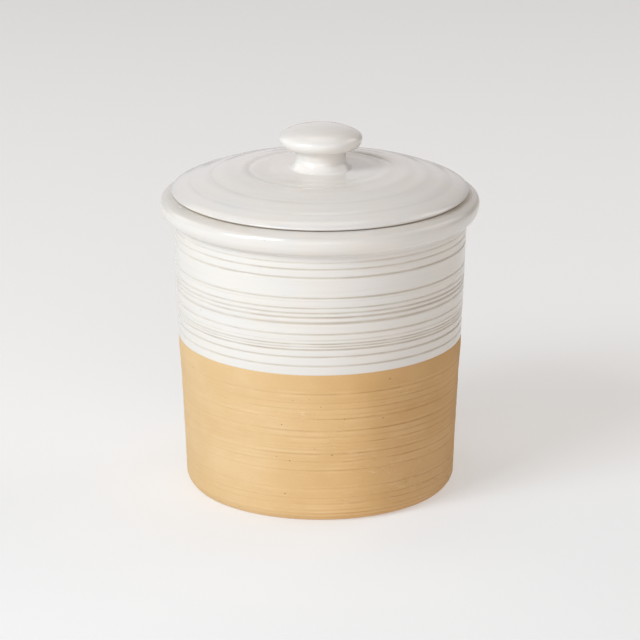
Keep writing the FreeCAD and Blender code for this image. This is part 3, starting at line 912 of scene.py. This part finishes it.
def glaze_material(name, tone, smoothest, roughest, streakiness):
    """White glaze. tone scales its colours, and streakiness the streaks along the rings."""
    n = Nodes(bpy.data.materials.new(name))

    def toned(colour):
        return np.multiply(tone, colour)

    clouds = n.ranged(n.noise((45, 45, 60), 3, 0.55), 0.36, 0.64)
    colour = n.mix(clouds, toned(GLAZE_WARM), toned(GLAZE_COOL))
    streaks = n.ranged(n.noise((14, 14, 620), 3, 0.6), 0.42, 0.72)
    colour = n.mix(n.times(streaks, 0.16 * streakiness), colour, toned(GLAZE_STREAK))
    # where the glaze breaks over the lines, the clay shows through, with a faint halo beside them;
    # the same mark also paints the lid's shadow on the land and shade along the lid's lower edge
    patches = n.ranged(n.noise((70, 70, 160), 3, 0.6), 0.30, 0.55, 0.65, 1.0)
    line_and_shade = n.times(n.mark("line_and_shade"), patches)
    colour = n.mix(n.ranged(line_and_shade, 0.02, 0.35, 0.0, 0.22), colour, toned(GLAZE_HALO))
    either = n.ranged(n.noise((38, 38, 90), 2, 0.5), 0.4, 0.62)
    broken = n.mix(either, toned(GLAZE_BROKEN_PALE), toned(GLAZE_BROKEN_DARK))
    colour = n.mix(n.ranged(line_and_shade, 0.05, 0.95, 0.0, 0.80), colour, broken)
    # grey where the glaze lies thick, and painted shade: in the cove under the rim, the lid's
    # shadow on the land, the lid's ring valleys, the knob's shadow and the lip
    grey_patches = n.ranged(n.noise((45, 45, 45), 2, 0.5), 0.35, 0.6, 0.35, 1.0)
    thick_glaze_and_shade = n.times(n.mark("thick_glaze_and_shade"), grey_patches)
    colour = n.mix(n.times(thick_glaze_and_shade, 0.8), colour, toned(GLAZE_THICK_AND_SHADE))
    here_and_there = n.ranged(n.noise((31, 31, 31), 2, 0.5), 0.50, 0.60)
    pinholes = n.times(n.specks(120, (3.1, 0.4, 7.7), 0.030, 0.030), here_and_there)
    colour = n.mix(n.times(pinholes, 0.75), colour, PINHOLE)
    freckles = n.specks(200, (0.3, 5.4, 1.7), 0.03, 0.07)
    colour = n.mix(n.times(freckles, 0.12), colour, FRECKLE)
    sheen = n.ranged(n.noise((90, 90, 140), 3, 0.6), 0.3, 0.7, smoothest, roughest)
    skin = n.bump(n.noise((330, 330, 330), 2, 0.5), 0.00003, 0.5)
    pits = n.bump(n.math("SUBTRACT", 1.0, pinholes), 0.00012, 0.8, Normal=skin)
    combed = n.bump(n.noise((20, 20, 900), 2, 0.6), 0.00002, 0.6, Normal=pits)
    return n.finished({"Base Color": colour, "Normal": combed, "IOR": 1.5,
                       "Roughness": n.math("ADD", sheen, n.times(line_and_shade, 0.25))})


def clay_material():
    n = Nodes(bpy.data.materials.new("bare_tan_stoneware"))
    across = n.across()
    clouds = n.ranged(n.noise((28, 28, 34), 3, 0.55), 0.34, 0.66)
    colour = n.mix(clouds, CLAY_DEEP, CLAY_PALE)
    streaks = n.ranged(n.noise((11, 11, 520), 3, 0.62), 0.38, 0.68)
    colour = n.mix(n.times(streaks, 0.17), colour, CLAY_STREAK)
    grain = n.noise((2100, 2100, 2100), 2, 0.6)
    colour = n.mix(n.ranged(grain, 0.35, 0.65, 0.0, 0.13), colour, CLAY_GRAIN)
    # turning lines, weaker towards +X, and the pale banks beside them
    patches = n.ranged(n.noise((60, 60, 150), 3, 0.6), 0.30, 0.58, 0.35, 1.0)
    line_and_shade = n.times(n.times(n.mark("line_and_shade"), patches), n.ranged(across, 0.035, 0.060, 1.0, 0.55))
    colour = n.mix(n.ranged(line_and_shade, 0.10, 0.95, 0.0, 0.66), colour, CLAY_LINE)
    ridge = n.times(n.mark("ridge"), n.ranged(n.noise((50, 50, 120), 2, 0.6), 0.40, 0.62))
    colour = n.mix(n.times(ridge, 0.25), colour, CLAY_RIDGE)
    # rough places, where the tool dragged grit: broken pale dashes and dark ones between them
    blotches = n.math("ADD", n.noise((23, 23, 40), 2, 0.55), n.times(across, 2.2))
    rough_place = n.ranged(blotches, 0.59, 0.74)
    dashes = n.times(n.ranged(n.noise((210, 210, 1350), 3, 0.6), 0.57, 0.68), rough_place)
    colour = n.mix(n.times(dashes, 0.50), colour, CLAY_DASH)
    scars = n.times(n.ranged(n.noise((170, 170, 1150), 3, 0.6, 0.3), 0.59, 0.70), rough_place)
    colour = n.mix(n.times(scars, 0.32), colour, CLAY_SCAR)
    iron = n.specks(165, (2.2, 8.1, 0.6), 0.021, 0.036)
    colour = n.mix(n.times(iron, 0.88), colour, IRON)
    rust = n.times(n.specks(210, (6.4, 1.3, 4.9), 0.035, 0.07), rough_place)
    colour = n.mix(n.times(rust, 0.45), colour, RUST)
    # painted light and shade: the clay paler towards the lit -X side, browner and darker towards
    # the shaded +X side
    drifted = n.math("ADD", across, n.times(n.noise((14, 14, 9), 2, 0.5), 0.016))
    side_shade = n.mix(n.ranged(drifted, -0.032, 0.033), SIDE_SHADE_LEFT, SIDE_SHADE_MIDDLE)
    side_shade = n.mix(n.ranged(drifted, 0.016, 0.052), side_shade, SIDE_SHADE_RIGHT)
    colour = n.mix(1.0, colour, side_shade, blend="MULTIPLY")
    sand = n.bump(n.noise((1500, 1500, 1500), 3, 0.65), 0.00008, 0.7)
    pits = n.bump(n.math("SUBTRACT", 1.0, iron), 0.00022, 1.0, Normal=sand)
    torn = n.bump(n.math("SUBTRACT", dashes, scars), 0.00012, 0.8, Normal=pits)
    combed = n.bump(n.noise((25, 25, 1300), 2, 0.6), 0.00005, 0.7, Normal=torn)
    return n.finished({"Base Color": colour, "Normal": combed, "Specular IOR Level": 0.35,
                       "Roughness": n.ranged(grain, 0.3, 0.7, 0.72, 0.88)})


# The jar has the lid's white glaze, toned darker and warmer, which paints shade on the jar against
# the lid.
jar_glaze_toned_darker = glaze_material("white_glaze_broken_over_rings_toned_darker", tone=(0.912, 0.902, 0.884),
                           smoothest=0.13, roughest=0.22, streakiness=1.0)
lid_glaze = glaze_material("white_glaze_lying_thick", tone=(1.0, 1.0, 1.0),
                           smoothest=0.06, roughest=0.11, streakiness=0.6)
clay = clay_material()

# ---- the pieces ----
PIECES = [
    (make_jar_clay, "jar", "jar_body", "bare_clay", clay),
    (make_band_glaze, "jar", "band_glaze", "white_glaze", jar_glaze_toned_darker),
    (make_liner_glaze, "jar", "liner_glaze", "white_glaze", jar_glaze_toned_darker),
    (make_lid_clay, "lid", "lid_disc", "bare_clay", clay),
    (make_knob_clay, "lid", "lid_knob", "bare_clay", clay),
    (make_lid_glaze, "lid", "lid_glaze", "white_glaze", lid_glaze),
]
for make, body, node, slot, material in PIECES:
    piece = make()
    piece.data.materials.append(material)
    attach(piece, body)
    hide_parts(node)


# ---- floor, light and camera, in metres ----
FLOOR_RADIUS_M = 12
FLOOR_SIDES = 96
FLOOR_GREY = (0.62, 0.62, 0.62, 1)
FLOOR_ROUGHNESS = 0.9
FLOOR_GLOW = 0.35
SKY_BASE = (0.02, 0.02, 0.02)
# Wide glows in the sky: azimuth, climb, colour. Azimuth 0 is in front of the jar and -90 on
# its left, for the lamps too.
SKY_GLOWS = [(0, 8, (2.64, 2.50, 2.50)), (180, 8, (0.86, 0.84, 0.875))]
SKY_GLOW_NARROWNESS = 8.0
LAMP_TARGET = (0, 0, 0.09)
LAMP_DISTANCE = 1.5
# Square lamps: name, azimuth, climb, watts, colour, width.
LAMPS = [
    ("key", -45, 38, 10.6, (0.893, 0.945, 1.0), 0.6),
    ("low_left", -60, 22, 5.8, (0.739, 0.895, 1.0), 0.6),
    ("right", 106, 35, 4.3, (1.0, 0.96, 0.84), 1.2),
    ("left_back", -120, 54, 3.2, (1.0, 0.70, 0.53), 1.2),
    ("low_left_back", -120, 22, 1.65, (0.93, 1.0, 0.93), 0.6),
    ("right_back", 120, 38, 1.3, (0.96, 0.877, 1.0), 0.6),
    ("overhead", 180, 72, 1.3, (1.0, 0.99, 0.84), 0.6),
]
# The camera that was fitted to the photograph.
CAMERA_PLACE = (0, -1.5766, 0.57053)
CAMERA_TARGET = (0, 0, 0.07337)
CAMERA_LENS_MM = 210.086
CAMERA_SENSOR_MM = 36
CAMERA_REACH = (0.05, 50)


def make_floor():
    material = Nodes(bpy.data.materials.new("pale_floor")).finished({
        "Base Color": FLOOR_GREY, "Roughness": FLOOR_ROUGHNESS, "Specular IOR Level": 0.0,
        "Emission Color": (1, 1, 1, 1), "Emission Strength": FLOOR_GLOW})
    turn = np.linspace(0, TURN, FLOOR_SIDES, endpoint=False)
    ring = np.stack([FLOOR_RADIUS_M * np.cos(turn), FLOOR_RADIUS_M * np.sin(turn), 0 * turn], 1)
    mesh = bpy.data.meshes.new("floor")
    mesh.from_pydata(ring.tolist(), [], [list(range(FLOOR_SIDES))])
    mesh.materials.append(material)
    floor = bpy.data.objects.new("floor", mesh)
    bpy.context.scene.collection.objects.link(floor)


def direction(azimuth, climb):
    """A unit vector from the jar towards a place in the studio."""
    turn, rise = math.radians(azimuth), math.radians(climb)
    level = math.cos(rise)
    return Vector((math.sin(turn) * level, -math.cos(turn) * level, math.sin(rise)))


def make_sky():
    """Dark above, with a wide glow in front and one behind."""
    world = bpy.data.worlds.new("studio")
    bpy.context.scene.world = world
    n = Nodes(world)
    place = n.add("TexCoord", {}, "Generated")
    total = SKY_BASE
    for azimuth, climb, colour in SKY_GLOWS:
        facing = n.add("VectorMath", {0: place, 1: direction(azimuth, climb)}, "Value",
                       operation="DOT_PRODUCT")
        off = n.times(n.math("SUBTRACT", facing, 1.0), SKY_GLOW_NARROWNESS)
        glow = n.math("EXPONENT", off, 0.0)
        lit = n.add("VectorMath", {0: colour, "Scale": glow}, "Vector", operation="SCALE")
        total = n.add("VectorMath", {0: lit, 1: total}, "Vector", operation="ADD")
    n.add("OutputWorld", {"Surface": n.add("Background", {"Color": total}, "Background")})


def aim(thing, target):
    thing.rotation_mode = "QUATERNION"
    thing.rotation_quaternion = (Vector(target) - thing.location).to_track_quat("-Z", "Y")


def make_lamp(name, azimuth, climb, watts, colour, width):
    light = bpy.data.lights.new(name, "AREA")
    light.size = width
    light.energy = watts
    light.color = colour
    lamp = bpy.data.objects.new(name, light)
    lamp.location = Vector(LAMP_TARGET) + LAMP_DISTANCE * direction(azimuth, climb)
    bpy.context.scene.collection.objects.link(lamp)
    aim(lamp, LAMP_TARGET)


def make_camera():
    camera = bpy.data.objects.new("camera", bpy.data.cameras.new("camera"))
    camera.data.sensor_width = CAMERA_SENSOR_MM
    camera.data.lens = CAMERA_LENS_MM
    camera.data.clip_start, camera.data.clip_end = CAMERA_REACH
    camera.location = CAMERA_PLACE
    bpy.context.scene.collection.objects.link(camera)
    aim(camera, CAMERA_TARGET)
    bpy.context.scene.camera = camera


make_floor()
make_sky()
for lamp in LAMPS:
    make_lamp(*lamp)
make_camera()
bpy.context.scene.view_settings.view_transform = "Standard"

bpy.context.view_layer.update()
